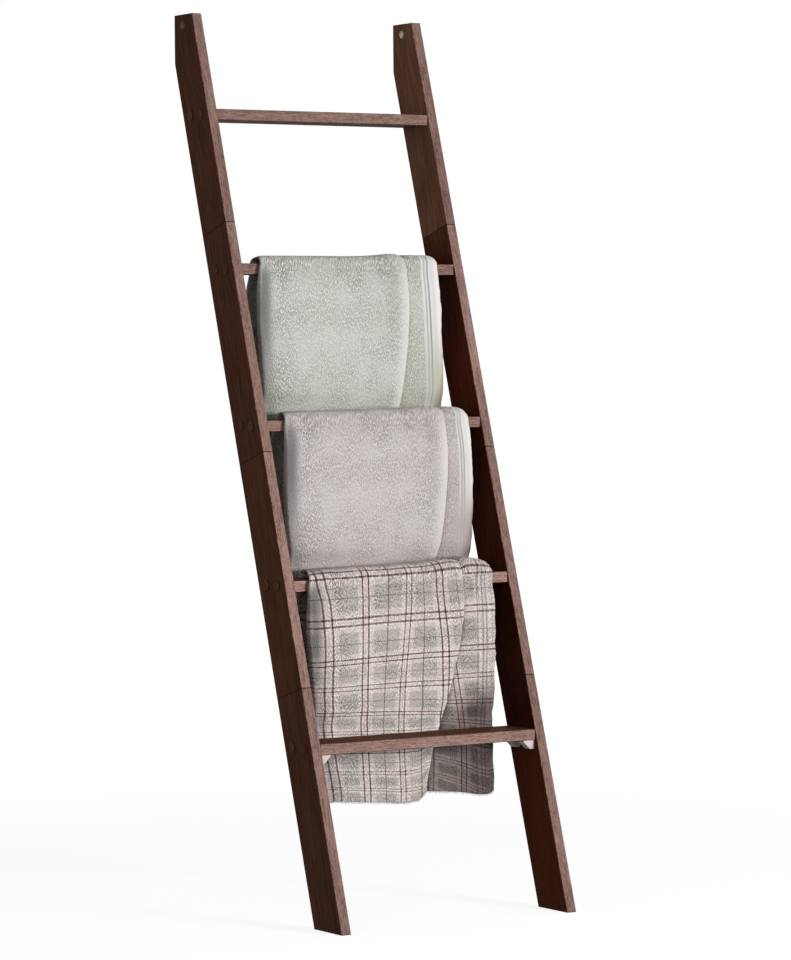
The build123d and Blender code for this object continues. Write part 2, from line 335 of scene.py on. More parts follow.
def makeZinc():
    material, tree, shader = newMaterial("zinc plated steel")
    place = made(tree, "ShaderNodeTexCoord", output="Object")
    spangle = made(tree, "ShaderNodeTexVoronoi", {"Vector": place, "Scale": 900.0}, "Color")
    smear = roughNoise(place, (300, 300, 300), 4, 0.6)
    color = blended(splitUp(spangle)[0] * 0.35 + smear * 0.6, fitting["zincDark"], fitting["zincLight"])
    finishShader(shader, color, eased(smear, 0.3, 0.7, 0.28, 0.5), smear, 0.3, 0.05 * mm, Metallic=1.0)
    return material


def makeDowelWood():
    material, tree, shader = newMaterial("beech dowel")
    place = made(tree, "ShaderNodeTexCoord", output="Object")
    grain = made(tree, "ShaderNodeMapping", {"Vector": place, "Rotation": railTurn})
    streaks = roughNoise(grain, (40, 900, 900), 5, 0.6, 0.4)
    color = blended(streaks, fitting["beechDark"], fitting["beechLight"])
    finishShader(shader, color, eased(streaks, 0.3, 0.7, 0.55, 0.75), streaks, 0.4, 0.2 * mm)
    return material


zinc = makeZinc()
endings = {
    "_caps": makeMouldedPlastic("brown cap plastic", fitting["capColor"], fitting["capScuff"], 0.6, 1400, 0.06,
                                fitting["capRim"]),
    "_brace": makeMouldedPlastic("pale brace plastic", fitting["braceColor"], fitting["braceGrime"], 0.5, 1800, 0.3),
    "_screws": zinc, "_bolts": zinc, "_inserts": zinc, "_stud": zinc, "_dowels": makeDowelWood(),
}
for name, piece in nodes.items():
    for ending, material in endings.items():
        if name.endswith(ending):
            paint(piece, material)
print("fittings: finished")


# blankets: one sheet each, folded lengthwise and hung over its rung

# Distances in the tables below are in millimetres. "way" runs along the cloth from the rung's front
# top corner: positive down the front, negative over the top and down the back.

cloth = {
    "halfThick": 1.45,       # the cloth itself
    "underLift": 1.7,        # middle of the under layer above what it lies on
    "outerLift": 8.2,        # middle of the outer layer
    "tuckLift": 4.9,         # middle of the turned-in return behind the outer layer's edge
    "tuckWidth": 72.0,
    "foldReach": 13.0,       # width of the fold's inner curve
    "foldRound": 38.0,       # width of its outer curve
    "foldSquare": 0.66,      # 1 is an ellipse, less is squarer
    "foldSwell": 12.0,       # how much the fold stands out where nothing presses on it
    "foldSag": 6.0,          # and how much it bulges backwards
    "edgeSwell": 6.0,        # height of the crest beside the outer layer's edge
    "edgeCrest": 15.0,       # how far in from the edge that crest is
    "edgeBack": 75.0,        # where the rise to it begins
    "along": 4.3,            # pace of the rows, and where the cloth bends over the rung
    "roundAlong": 2.4,
    "columns": {"under": 92, "fold": 21, "over": 82, "turn": 8, "tuck": 16},
    "nextRung": (232, 272),  # on the way down the front, the folds go flat over the next rung
    "waves": {  # seed, size across and along, and height
        "slow": (0, (95, 150), 1.9), "quick": (5, (34, 60), 0.5), "puffs": (9, (50, 80), 1.0),
        "edge": (13, (10, 17), 1.7), "longEdge": (17, (10, 41), 2.0), "sway": (21, (10, 55), 1.6),
    },
    "turnedTone": (0.37, 0.375, 0.375, 1),  # the left fold turns out of the light
}
towel = {  # what the two terry blankets share
    "frontDrop": 413.0, "rearDrop": 340.0, "passBehind": 21.9, "lowFree": 0.25, "topShade": 0.3, "rimHighlight": 0.62,
    "hem": [(-200, 0), (200, 0)], "underHem": [(-200, 0), (200, 0)],
}
sage = {
    **towel, "node": "sage_blanket", "rung": "rung_2", "below": "rung_3", "title": "sageBlanket", "slot": "sage_cloth",
    "seed": 3, "loft": 14.5, "lowLean": 2.6, "freeCrown": 9.6, "shoulder": 22.0, "seamFromHem": 27.0,
    "left": [(-430, -166), (-200, -166), (-140, -166), (-92, -158), (-45, -172), (0, -193.5), (91, -198), (193, -188),
             (279, -177), (413, -170)],
    "right": [(-430, 200), (-95, 198), (-40, 194), (0, 189), (30, 191), (135, 201), (267, 211), (413, 212)],
    "outer": [(-430, 122), (-95, 116), (0, 114), (11, 116.5), (134, 124.5), (262, 116), (413, 100)],
    "crown": [(-210, 1.5), (-100, 2.0), (60, 1.5), (130, 1.0)],
    "underShade": 0.18, "hemLow": 0.55, "rimWidth": 13.0, "foldShade": 0.12, "foldFade": (10, 40), "turnFade": (9, 26),
    "trough": 0.3, "grooves": ((14.5, 0.1), (23.0, 0.75), (30.2, 0.45), (36.6, 0.05)),
    "light": (0.80, 0.805, 0.78, 1), "dark": (0.335, 0.34, 0.31, 1), "cool": (0.985, 1.0, 1.0, 1),
    "warm": (1.0, 0.995, 0.96, 1), "shaded": (0.62, 0.63, 0.49, 1), "rim": (0.86, 0.80, 0.76, 1),
    "hemLight": (0.846, 0.852, 0.870, 1), "threadColors": ((0.55, 0.55, 0.50, 1), (0.70, 0.70, 0.66, 1)),
}
rose = {
    **towel, "node": "rose_blanket", "rung": "rung_3", "below": "rung_4", "title": "roseBlanket", "slot": "rose_cloth",
    "seed": 11, "loft": 15.0, "lowLean": 4.6, "freeCrown": 11.0, "shoulder": 27.0, "seamFromHem": 20.0,
    "left": [(-430, -176), (-200, -176), (-140, -172), (-92, -156), (-45, -173), (0, -196), (56, -197), (154, -194.5),
             (236, -182), (267, -174), (413, -166)],
    "right": [(-430, 204), (-95, 203), (-40, 201), (0, 198), (30, 202), (139, 211), (267, 214), (413, 214)],
    "outer": [(-430, 130), (-95, 132), (0, 141), (14, 144), (130, 150.5), (200, 146), (264, 138.5), (413, 120)],
    "crown": [(-210, 1.5), (-60, 2.5), (60, 3.5), (150, 3.0)],
    "underShade": 0.35, "hemLow": 0.85, "rimWidth": 12.0, "foldShade": 0.15, "foldFade": (12, 44), "turnFade": (8, 28),
    "trough": 0.28, "grooves": ((9.5, 0.1), (17.8, 0.5), (23.2, 0.5), (27.6, 0.05)),
    "light": (0.81, 0.765, 0.755, 1), "dark": (0.35, 0.315, 0.31, 1), "cool": (0.965, 0.985, 0.98, 1),
    "warm": (1.0, 0.965, 0.96, 1), "shaded": (0.66, 0.59, 0.59, 1), "rim": (0.82, 0.77, 0.75, 1),
    "hemLight": (0.875, 0.870, 0.850, 1), "threadColors": ((0.56, 0.50, 0.49, 1), (0.72, 0.66, 0.65, 1)),
}
plaid = {
    "node": "plaid_blanket", "rung": "rung_4", "below": "shelf", "title": "plaidBlanket", "slot": "plaid_cloth",
    "frontDrop": 408.0, "rearDrop": 340.0, "passBehind": 10.9, "seed": 23, "loft": 15.5, "lowFree": 0.8, "lowLean": 0.0,
    "freeCrown": 20.0, "shoulder": 50.0, "seamFromHem": 6.0,
    "left": [(-430, -176), (-200, -176), (-140, -174), (-92, -162), (-45, -178), (0, -199), (78, -204), (141, -201.5),
             (195, -195.5), (300, -181), (400, -160)],
    "right": [(-430, 200), (-95, 198), (-40, 196), (0, 193), (30, 194), (100, 197), (250, 198), (407, 200)],
    "outer": [(-430, 116), (-95, 118), (0, 121), (61, 126), (107, 122), (177, 106), (231, 93), (320, 66), (396, 50)],
    "crown": [(-210, 3.0), (-100, 4.5), (60, 7.5), (130, 9.5)],
    "hem": [(-160, -8), (-60, 0), (21, 3), (38, 0), (50, -12)],
    "underHem": [(-160, -10), (58, -11), (130, -5), (180, 2), (192, 1), (202, -6)],
    "underShade": 0.1, "topShade": 0.12, "rimWidth": 4.0, "rimHighlight": 0.0, "foldShade": 0.2, "foldFade": (15, 36),
    "turnFade": (9, 32), "trough": 0.0, "threadColors": ((0.12, 0.085, 0.085, 1), (0.42, 0.36, 0.35, 1)),
    "checks": {
        "pitch": 83.0, "underPitch": 71.0, "lineAt": 0.077, "pairHalf": [8.6, 6.6, 5.4, 6.4],
        "pairs": [
            [(-430, -182), (0, -182), (60, -174), (120, -169), (220, -167), (300, -158), (400, -142)],
            [(-430, -88), (0, -87), (60, -88), (120, -87.5), (220, -87.5), (300, -82), (400, -78)],
            [(-430, 6), (0, 8), (60, 7), (120, 3), (180, -2), (230, -4), (400, -1)],
            [(-430, 70), (0, 71), (60, 76), (120, 84), (180, 86), (400, 83)],
        ],
        "rows": [(-430, -5), (-86, -1.1), (-16, -0.28), (-3.0, -0.09), (3.2, 0.09), (11, 0.2), (79, 1), (151, 2),
                 (199, 3), (246, 4), (282, 5), (318, 6), (358, 7), (387, 8), (430, 9.5)],
        "skew": [(-430, 0.01), (0, 0.012), (80, 0.022), (150, 0.02), (200, 0.0), (246, -0.045), (300, -0.02),
                 (358, 0.0), (408, -0.03)],
        "underPair": [(-430, 84), (190, 84), (235, 76), (280, 67), (354, 64), (408, 67)],
        "underRows": [(-430, -5), (-86, -1.1), (-16, -0.28), (-3.2, -0.09), (3.0, 0.09), (11, 0.22), (66, 1), (139, 2),
                      (190, 3), (238, 4), (276, 5), (315, 6), (362, 7), (397, 8), (430, 9)],
        "underSkew": [(-430, 0.01), (0, 0.01), (150, 0.015), (230, -0.01), (300, -0.16), (408, -0.27)],
    },
}


def easeLine(table, at):
    # a smooth line through a few (way, value) pairs
    ways, values = np.array(table, float).T
    slopes = np.gradient(values, ways)
    at = np.clip(at, ways[0], ways[-1])
    k = np.clip(np.searchsorted(ways, at, side="right") - 1, 0, len(ways) - 2)
    gap = ways[k + 1] - ways[k]
    t = (at - ways[k]) / gap
    return ((1 + 2 * t) * (1 - t) ** 2 * values[k] + t * (1 - t) ** 2 * gap * slopes[k]
            + t * t * (3 - 2 * t) * values[k + 1] + t * t * (t - 1) * gap * slopes[k + 1])


def step(value, low, high):
    t = np.clip((value - low) / (high - low), 0, 1)
    return t * t * (3 - 2 * t)


def throughPoints(points):
    # a Catmull-Rom line through given points, and the length walked along it
    pts = np.array([points[0]] + points + [points[-1]], float)
    walked = []
    for a, b, c, d in zip(pts, pts[1:], pts[2:], pts[3:]):
        for t in np.linspace(0, 1, 40, endpoint=False):
            walked.append(0.5 * (2 * b + (c - a) * t + (2 * a - 5 * b + 4 * c - d) * t ** 2
                                 + (3 * b - a - 3 * c + d) * t ** 3))
    walked = np.array(walked + [pts[-1]])
    return walked, np.concatenate([[0], np.cumsum(np.linalg.norm(np.diff(walked, axis=0), axis=1))])


def drapeLine(piece):
    # side view of the inner face of the folded cloth, as (y, z) from the rung's front top corner
    low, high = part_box(piece["rung"])
    depth, thick = (high[1] - low[1]) / mm, (high[2] - low[2]) / mm
    nextTop = (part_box(piece["below"])[1][2] - high[2]) / mm
    front, rear, back = piece["frontDrop"], piece["rearDrop"], piece["passBehind"]
    rise = piece["loft"] - cloth["outerLift"] - cloth["halfThick"]
    points = [
        (back, -front),
        (back, (nextTop - front) * 0.5),
        (back, nextTop - 4),
        (back - 0.6, nextTop + 16),
        (back * 0.62, nextTop * 0.66 - thick * 0.34),
        (back * 0.2, nextTop * 0.32 - thick * 0.68),
        (-0.6, -thick - 12),
        (-1.7, -thick * 0.6),
        (-2.1, -4.5),
        (0.6, 1.9),
        (9, rise * 0.86),
        (30, rise),
        (depth * 0.7, rise * 0.95),
        (depth - 7, rise * 0.55),
        (depth + 0.7, -2.6),
        (depth + 0.8, -thick),
        (depth + 0.8, -rear * 0.5),
        (depth + 0.8, -rear),
    ]
    line, length = throughPoints(points)
    corner = int(np.argmin(np.hypot(line[:, 0], line[:, 1] - 1)))
    return line, length - length[corner], (low[1], high[2])


def rowPlaces(length):
    # rows stand closer where the cloth bends over the rung
    fine = np.arange(length[0], length[-1], 0.25)
    bend = np.exp(-((fine / 30.0) ** 2)) + np.exp(-(((fine - 92) / 26.0) ** 2))
    pace = cloth["along"] + (cloth["roundAlong"] - cloth["along"]) * np.clip(bend, 0, 1)
    count = np.concatenate([[0], np.cumsum(0.25 / pace)])[: len(fine)]
    return np.interp(np.linspace(0, count[-1], int(count[-1]) + 1), count, fine)


def gridWaves(piece, kind, x, way):
    # soft unevenness at each point
    seed, size, height = cloth["waves"][kind]
    seed += piece["seed"]
    shift = Vector((seed * 7.13, seed * 3.77, seed * 1.91))
    spots = zip((x / size[0]).ravel(), (way / size[1]).ravel())
    return np.array([noise.noise(Vector((a, b, 0)) + shift) for a, b in spots]).reshape(x.shape) * height


def layColumns(piece, way, left, right, outer):
    # where each column of the folded cloth runs, how far it lies above the drape line, and in which layer
    under, over, tuck = cloth["underLift"], cloth["outerLift"], cloth["tuckLift"]
    reach, square, crest, counts = cloth["foldReach"], cloth["foldSquare"], cloth["edgeCrest"], cloth["columns"]
    clear = 1 - step(way, *cloth["nextRung"])
    onTop = step(-way, 2, 16) * (1 - step(-way, 72, 92))
    onRung = step(-way, -9, 12) * (1 - step(-way, 82, 106))
    swell = cloth["foldSwell"] * step(way, -4, 45) * clear
    lip = cloth["edgeSwell"] * step(way, -60, 30) * clear
    foldHigh = over + swell - 1.7 * onTop
    foldLow = under + 3.4 * onTop - cloth["foldSag"] * step(way, 20, 70) * clear
    foldMid, foldR = (foldHigh + foldLow) / 2, (foldHigh - foldLow) / 2
    tuckR = (over + 0.32 * lip - tuck) / 2
    wide = reach + (cloth["foldRound"] - reach) * (0.35 + 0.65 * clear)
    columns = []
    for k in range(counts["under"]):  # from the right hem to the left fold
        x = right + (left + reach - right) * k / counts["under"]
        lift = under + (foldLow - under) * (1 - step(x - left - reach, 0, 30))
        lift = lift + 4.5 * step(x - outer, 0, 75) * step(way, 10, 60) * clear
        # over the rung the free part arches up and rounds off towards the hem
        shoulder = np.sqrt(1 - (1 - np.clip((right - x) / piece["shoulder"], 0, 1)) ** 2)
        lift = lift + piece["freeCrown"] * step(x - outer, -8, 18) * shoulder * onRung
        columns.append((x, lift, "under"))
    for k in range(counts["fold"]):
        a = math.pi * k / counts["fold"]
        x = left + (reach if a < math.pi / 2 else wide) * (1 - math.sin(a) ** square)
        lift = foldMid - foldR * math.copysign(abs(math.cos(a)) ** square, math.cos(a))
        columns.append((x, lift, "fold"))
    for k in range(counts["over"]):  # from the left fold to the outer layer's own rounded edge
        x = left + wide + (outer - tuckR - left - wide) * k / counts["over"]
        fromFold, fromEdge = x - left - wide, outer - tuckR - x
        lift = over + (foldHigh - over) * np.exp(-((fromFold / 80.0) ** 2))
        lift = lift - 1.4 * step(fromFold, 10, 120) * step(fromEdge, 40, 110)
        ridge = (1 - step(fromEdge, crest, cloth["edgeBack"])) * (0.16 + 0.84 * step(fromEdge, -6, crest))
        columns.append((x, lift + lip * ridge * step(fromFold, 0, 50), "over"))
    for k in range(counts["turn"]):
        a = math.pi * k / counts["turn"]
        columns.append((outer - tuckR + tuckR * math.sin(a), tuck + tuckR * (1 + math.cos(a)), "turn"))
    for k in range(counts["tuck"]):  # the return, hidden behind the outer layer
        x = outer - tuckR - cloth["tuckWidth"] * k / (counts["tuck"] - 1)
        columns.append((x, tuck + 0 * x, "tuck"))
    x, lift = (np.stack([column[part] for column in columns], axis=1) for part in (0, 1))
    layer = np.array([column[2] for column in columns])
    return x, lift + np.where(layer == "under", 0.0, easeLine(piece["crown"], x) * onRung[:, None]), layer


def loosened(piece, way, x, lift, layer, right):
    # cloth hangs in slow waves where nothing holds it, and its edges aren't straight
    slow, quick, puffs = (gridWaves(piece, kind, x, way) for kind in ("slow", "quick", "puffs"))
    free = step(way, 14, 70) * (1 - 0.75 * step(way, 225, 270)) + piece["lowFree"] * step(way, 330, 400)
    free = free + 0.8 * step(-way, 225, 300)
    lift = lift + (1.6 + slow + quick) * free - piece["lowLean"] * step(way, 236, 272)
    puffs = np.isin(layer, ("over", "fold", "turn")) * np.clip(puffs + 0.2, 0, 1) * 1.8
    lift = lift + puffs * step(way, -70, 20) * (1 - step(way, *cloth["nextRung"]))
    edge, longEdge, sway = (gridWaves(piece, kind, 0 * x, way) for kind in ("edge", "longEdge", "sway"))
    nearRight = step(x - right[:, None], -45, 0) * (layer == "under")
    return x + (edge + longEdge) * nearRight + sway * (1 - nearRight), lift


def blanketGrid(piece):
    line, length, corner = drapeLine(piece)
    rows = rowPlaces(length)
    way = -rows  # positive down the front
    y, z = np.interp(rows, length, line[:, 0]), np.interp(rows, length, line[:, 1])
    tangent = unit(np.stack([np.gradient(y, rows), np.gradient(z, rows)], axis=1))
    outY, outZ = -tangent[:, 1], tangent[:, 0]  # outwards, away from the rung
    left, right, outer = (easeLine(piece[edge], way) for edge in ("left", "right", "outer"))
    x, lift, layer = layColumns(piece, way, left, right, outer)
    wayGrid = np.repeat(way[:, None], x.shape[1], axis=1)
    hang = np.where(layer == "under", easeLine(piece["underHem"], x), easeLine(piece["hem"], x))
    x, lift = loosened(piece, wayGrid, x, lift, layer, right)
    y = corner[0] / mm + y[:, None] + outY[:, None] * lift
    z = corner[1] / mm + z[:, None] + outZ[:, None] * lift - hang * step(wayGrid, 250, 400)
    points = np.stack([x, y, z], axis=2) * mm
    return points, np.stack([0 * outY, outY, outZ], axis=1), wayGrid, x, layer, left, right, outer


def buildSheet(name, points, uvs, marks):
    # a closed shell round the middle surface, whose rims stand a little outside its last row or column
    rows, cols = points.shape[:2]
    half = cloth["halfThick"] * mm
    normal = unit(np.cross(np.gradient(points, axis=0), np.gradient(points, axis=1)))

    def beyond(edge, inner):
        return edge + unit(edge - inner) * half * 0.8

    # walk round the edge once: corner to corner
    rimPoints = np.concatenate([
        beyond(points[0], points[1])[:-1], beyond(points[:, -1], points[:, -2])[:-1],
        beyond(points[-1], points[-2])[:0:-1], beyond(points[:, 0], points[:, 1])[:0:-1],
    ])
    index = np.arange(rows * cols).reshape(rows, cols)
    ring = np.concatenate([index[0, :-1], index[:-1, -1], index[-1, :0:-1], index[:0:-1, 0]])
    a, b, c, d = index[:-1, :-1], index[1:, :-1], index[1:, 1:], index[:-1, 1:]
    upper = np.stack([a, b, c, d], axis=2).reshape(-1, 4)
    lower = np.stack([a, d, c, b], axis=2).reshape(-1, 4) + rows * cols
    rim = 2 * rows * cols + np.arange(len(ring))
    nextRing, nextRim = np.roll(ring, -1), np.roll(rim, -1)
    first = np.stack([ring, nextRing, nextRim, rim], axis=1)
    second = np.stack([rim, nextRim, nextRing + rows * cols, ring + rows * cols], axis=1)
    shells = [(points + normal * half * side).reshape(-1, 3) for side in (1, -1)]
    verts = np.concatenate(shells + [rimPoints])
    mesh = bpy.data.meshes.new(name)
    mesh.from_pydata(verts.tolist(), [], np.concatenate([upper, lower, first, second]).tolist())
    loops = np.empty(len(mesh.loops), dtype=np.int32)
    mesh.loops.foreach_get("vertex_index", loops)
    for title, flat in uvs.items():
        flat = flat.reshape(-1, 2)
        flat = np.concatenate([flat, flat, flat[ring]])[loops]
        mesh.uv_layers.new(name=title).data.foreach_set("uv", flat.ravel().astype(np.float32))
    for title, values in marks.items():
        flat = values.ravel()
        values = np.concatenate([flat, flat, flat[ring]]).astype(np.float32)
        mesh.attributes.new(title, "FLOAT", "POINT").data.foreach_set("value", values)
    mesh.shade_smooth()
    mesh.validate()
    mesh.update()
    return mesh


def flatPlaces(piece, way, x, layer, right, outer):
    # where each point lies on the flat cloth and in its checks, and how far it is from the right hem
    onUnder = layer == "under"
    mirrored = np.where(layer == "tuck", 2 * outer[:, None] - x, x)
    hidden = step(outer[:, None] - x, 20, 130)
    fromHem = np.where(onUnder, right[:, None] - x, 900.0)
    across = np.where(onUnder, fromHem * (1 - hidden) + (500 + x) * hidden, 500 + mirrored)
    places = {"flatCloth": np.stack([across, way], axis=2) * mm}
    if "checks" in piece:
        checks = piece["checks"]
        pairs = [easeLine(table, way[:, 0]) for table in checks["pairs"]]
        across = np.empty_like(x)
        for row in range(len(x)):
            at = [pair[row] for pair in pairs]
            before, beyond = 2 * at[0] - at[1], 2 * at[-1] - at[-2]
            marks = [(before - 400, -6), (before, -1)]
            for k, (spot, half) in enumerate(zip(at, checks["pairHalf"])):
                marks += [(spot - half, k - checks["lineAt"]), (spot + half, k + checks["lineAt"])]
            marks += [(beyond, len(at)), (beyond + 400, len(at) + 5)]
            across[row] = easeLine(marks, mirrored[row])
        underAcross = (easeLine(checks["underPair"], way) - fromHem) / checks["underPitch"]
        across = np.where(onUnder, underAcross * (1 - hidden) + across * hidden, across)
        outerDown = easeLine(checks["rows"], way + easeLine(checks["skew"], way) * (x + 120))
        underDown = easeLine(checks["underRows"], way + easeLine(checks["underSkew"], way) * (x - 147))
        down = np.where(onUnder, underDown * (1 - hidden) + outerDown * hidden, outerDown)
        places["checks"] = np.stack([across, down], axis=2) * checks["pitch"] * mm
    return places, fromHem


def clothMarks(piece, way, x, layer, left, outer, fromHem):
    # what the materials need to know: where the pile is flat or rough, and where shade and highlight are painted on the
    # cloth
    onUnder, onEdge, inTurn = layer == "under", np.isin(layer, ("over", "turn")), np.isin(layer, ("over", "fold"))
    fromEdge = outer[:, None] - x
    fromLeft = np.clip(x - left[:, None], 0, 900)
    down = step(way, -10, 25)
    rim = (1 - step(fromEdge, 0, piece["rimWidth"] * 2.4)) * onEdge
    relief = 0.85 + 0.9 * np.exp(-fromLeft / 34) * (~onUnder) + 0.3 * (1 - step(way, 20, 70))
    relief = relief * (1 - 0.75 * rim)
    # painted shade on the under layer: a contact shadow beside the outer layer's edge, and the whole under layer
    # darker, less so near the top
    contact = 0.75 * np.exp(-np.clip(-fromEdge - 5, 0, 900) / 4.5) * down + piece["underShade"]
    contact = contact * (0.3 + 0.7 * step(way, 20, 120)) * onUnder
    # painted shade in a soft trough beside the outer layer's edge, on the upper front
    trough = piece["trough"] * np.exp(-(((fromEdge - 36) / 13) ** 2)) * onEdge
    trough = trough * step(way, -5, 20) * (1 - step(way, 60, 210))
    # painted shade over the top of the roll
    upTop = piece["topShade"] * step(way, -105, -75) * (1 - step(way, 5, 60)) * (layer != "fold")
    # painted shade near the left fold; the strip where it turns away gets a darker painted shade
    fold = piece["foldShade"] * step(fromLeft, 2, 8) * (1 - step(fromLeft, *piece["foldFade"])) * inTurn * down
    turned = (1 - step(fromLeft, *piece["turnFade"])) * inTurn * down * (0.97 - 0.6 * step(way, 90, 230))
    turned = np.maximum(turned, (layer == "fold") * step(-way, 0, 8) * (1 - step(-way, 70, 90)))
    facingLeft = (1 - step(fromLeft, 4, 10)) * inTurn
    if "checks" in piece:
        # painted shade: the under layer darker low down behind the shelf, more so towards the right
        low = step(way + 0.3 * (x - 120), 195, 275) * step(x, 20, 70) * onUnder * (0.72 + 0.28 * step(x, 100, 150))
        shade = contact + upTop + fold + low + trough
    else:
        hemWidth = piece["grooves"][-1][0]
        onHem = 1 - step(fromHem, hemWidth - 2, hemWidth + 2)
        # painted shade: the front hangs darker low down, where it passes behind the next blanket, and the hem darker
        # still there, most at its edge
        hemLow = onHem * step(way, 115, 215) * piece["hemLow"] * (1 + 0.8 * np.exp(-fromHem / 8))
        shade = (contact + upTop + fold + 0.48 * step(way, 175, 300) + trough) * (1 - 0.6 * onHem) + hemLow
    return {
        "fromHem": fromHem * mm,
        "relief": relief * (1 - 0.8 * np.maximum(turned, facingLeft)),
        # painted shade above zero; below zero, a painted highlight along the outer layer's edge
        "shade": np.clip(shade, 0, 1) - rim * down * piece["rimHighlight"],
        "turned": turned * (0.35 + 0.65 * step(fromLeft, 0, 4)),
    }


def makeBlanket(piece):
    points, outward, way, x, layer, left, right, outer = blanketGrid(piece)
    places, fromHem = flatPlaces(piece, way, x, layer, right, outer)
    mesh = buildSheet(piece["title"], points, places, clothMarks(piece, way, x, layer, left, outer, fromHem))
    piece["width"] = float(np.linalg.norm(np.diff(points, axis=1), axis=2).sum(axis=1).mean())
    piece["length"] = float(way.max() - way.min()) * mm
    piece["grid"] = {"points": points, "outward": outward, "way": way[:, 0], "x": x, "layer": layer, "right": right}
    return placed(piece["title"], mesh)


# threads: seam stitches and a short fringe, laid along paths by Geometry Nodes

stitch = {
    "given": {"Pitch": 3.4 * mm, "Length": 2.3 * mm, "Thickness": 0.45 * mm, "Unevenness": 0.06},
    "sink": 0.1,        # into the cloth, in millimetres
    "aboveHem": 9.0,    # the front seams
    "overRung": 80.0,   # how much of the way to the rear seam lies over the rung
}
fringe = {
    "given": {"Pitch": 3.1 * mm, "Length": 2.6 * mm, "Thickness": 0.75 * mm, "Unevenness": 0.35},
    "pastHem": 1.8, "pastSide": 1.0,  # from the cloth's edge to a thread's middle, in millimetres
    "sideFrom": 150.0, "sideSize": 0.45,  # threads beside the lower front, and their share of the length
}


def makeThreadTree(name, tapered):
    # lays a strand at every step of its paths, each one a little astray and of its own length
    takes = {"Geometry": "Geometry", "Pitch": "Float", "Length": "Float", "Thickness": "Float", "Unevenness": "Float",
             "Seed": "Int", "Material": "Material"}
    tree, came, goes = newTree(name, "GeometryNodeTree", takes, {"Geometry": "Geometry"})
    length, thick, uneven, seed = (came[title] for title in ("Length", "Thickness", "Unevenness", "Seed"))
    curve = made(tree, "GeometryNodeMeshToCurve", {0: came["Geometry"]})
    points = made(tree, "GeometryNodeResampleCurve", {"Curve": curve, "Length": came["Pitch"]}, mode="LENGTH")
    stray = {0: uneven * -1.0, 1: uneven, "Seed": seed}
    stray = made(tree, "FunctionNodeRandomValue", stray, data_type="FLOAT_VECTOR")
    lays = made(tree, "GeometryNodeInputNamedAttribute", {"Name": "lays"}, data_type="FLOAT_VECTOR")
    turn = made(tree, "FunctionNodeAlignRotationToVector", {"Vector": vectorMaths("ADD", lays, stray)}, axis="Z")
    luck = {2: 1.0 - uneven * 1.2, 3: uneven * 1.2 + 1.0, "Seed": seed}
    luck = made(tree, "FunctionNodeRandomValue", luck, 1, data_type="FLOAT")
    size = made(tree, "GeometryNodeInputNamedAttribute", {"Name": "size"}, data_type="FLOAT")
    scale = made(tree, "ShaderNodeCombineXYZ", {0: 1.0, 1: 1.0, 2: luck * size})
    if tapered:
        strand = {"Radius Top": thick * 0.35, "Radius Bottom": thick, "Depth": length}
        strand = made(tree, "GeometryNodeMeshCone", {"Vertices": 5, "Side Segments": 2, **strand})
    else:
        ball = made(tree, "GeometryNodeMeshUVSphere", {"Segments": 6, "Rings": 5, "Radius": 1.0})
        reach = made(tree, "ShaderNodeCombineXYZ", {0: thick, 1: thick, 2: length * 0.5})
        strand = made(tree, "GeometryNodeTransform", {"Geometry": ball, "Scale": reach})
    laid = {"Points": points, "Instance": strand, "Rotation": turn, "Scale": scale}
    real = made(tree, "GeometryNodeRealizeInstances", {0: made(tree, "GeometryNodeInstanceOnPoints", laid)})
    done = made(tree, "GeometryNodeSetMaterial", {"Geometry": real, "Material": came["Material"]})
    feed(goes, {"Geometry": done})
    return tree


def runThreads(title, tree, paths, values):
    # each path is a row of places with the way its threads lie and their size
    places, lays = (np.concatenate([path[k] for path in paths]) for k in (0, 1))
    sizes = np.concatenate([np.full(len(path[0]), path[2]) for path in paths])
    ends = np.cumsum([len(path[0]) for path in paths])
    mesh = bpy.data.meshes.new(title + "Path")
    mesh.from_pydata(places.tolist(), [(k - 1, k) for k in range(1, len(places)) if k not in ends], [])
    mesh.attributes.new("lays", "FLOAT_VECTOR", "POINT").data.foreach_set("vector", lays.astype(np.float32).ravel())
    mesh.attributes.new("size", "FLOAT", "POINT").data.foreach_set("value", sizes.astype(np.float32))
    path = placed(title + "Path", mesh)
    modifier = path.modifiers.new(title, "NODES")
    modifier.node_group = tree
    for item in tree.interface.items_tree:
        if item.in_out == "INPUT" and item.name in values:
            modifier[item.identifier] = values[item.name]
    depsgraph = bpy.context.evaluated_depsgraph_get()
    laid = path.evaluated_get(depsgraph)
    mesh = bpy.data.meshes.new_from_object(laid, preserve_all_data_layers=True, depsgraph=depsgraph)
    path.modifiers.remove(modifier)
    bpy.data.objects.remove(path)
    mesh.name = title
    return placed(title, mesh)


def seamAt(places, outward):
    places = places + outward * (cloth["halfThick"] - stitch["sink"]) * mm
    return places, unit(np.gradient(places, axis=0)), 1.0


def seamDown(piece):
    # up the side hem, over the rung and down the back
    grid = piece["grid"]
    under = grid["layer"] == "under"
    places = []
    for spots, at, hem in zip(grid["points"][:, under], grid["x"][:, under], grid["right"]):
        order = np.argsort(at)
        places.append([np.interp(hem - piece["seamFromHem"], at[order], line) for line in spots[order].T])
    return seamAt(np.array(places), grid["outward"])


def seamAcross(piece, row, part, skip=0):
    # beside a bottom hem, on one layer
    grid = piece["grid"]
    return seamAt(grid["points"][row, np.flatnonzero(grid["layer"] == part)[skip:]], grid["outward"][row])


def fringePast(edge, inner, gap, size):
    heading = unit(edge - inner)
    return edge + heading * gap * mm, heading, size


# cloth materials

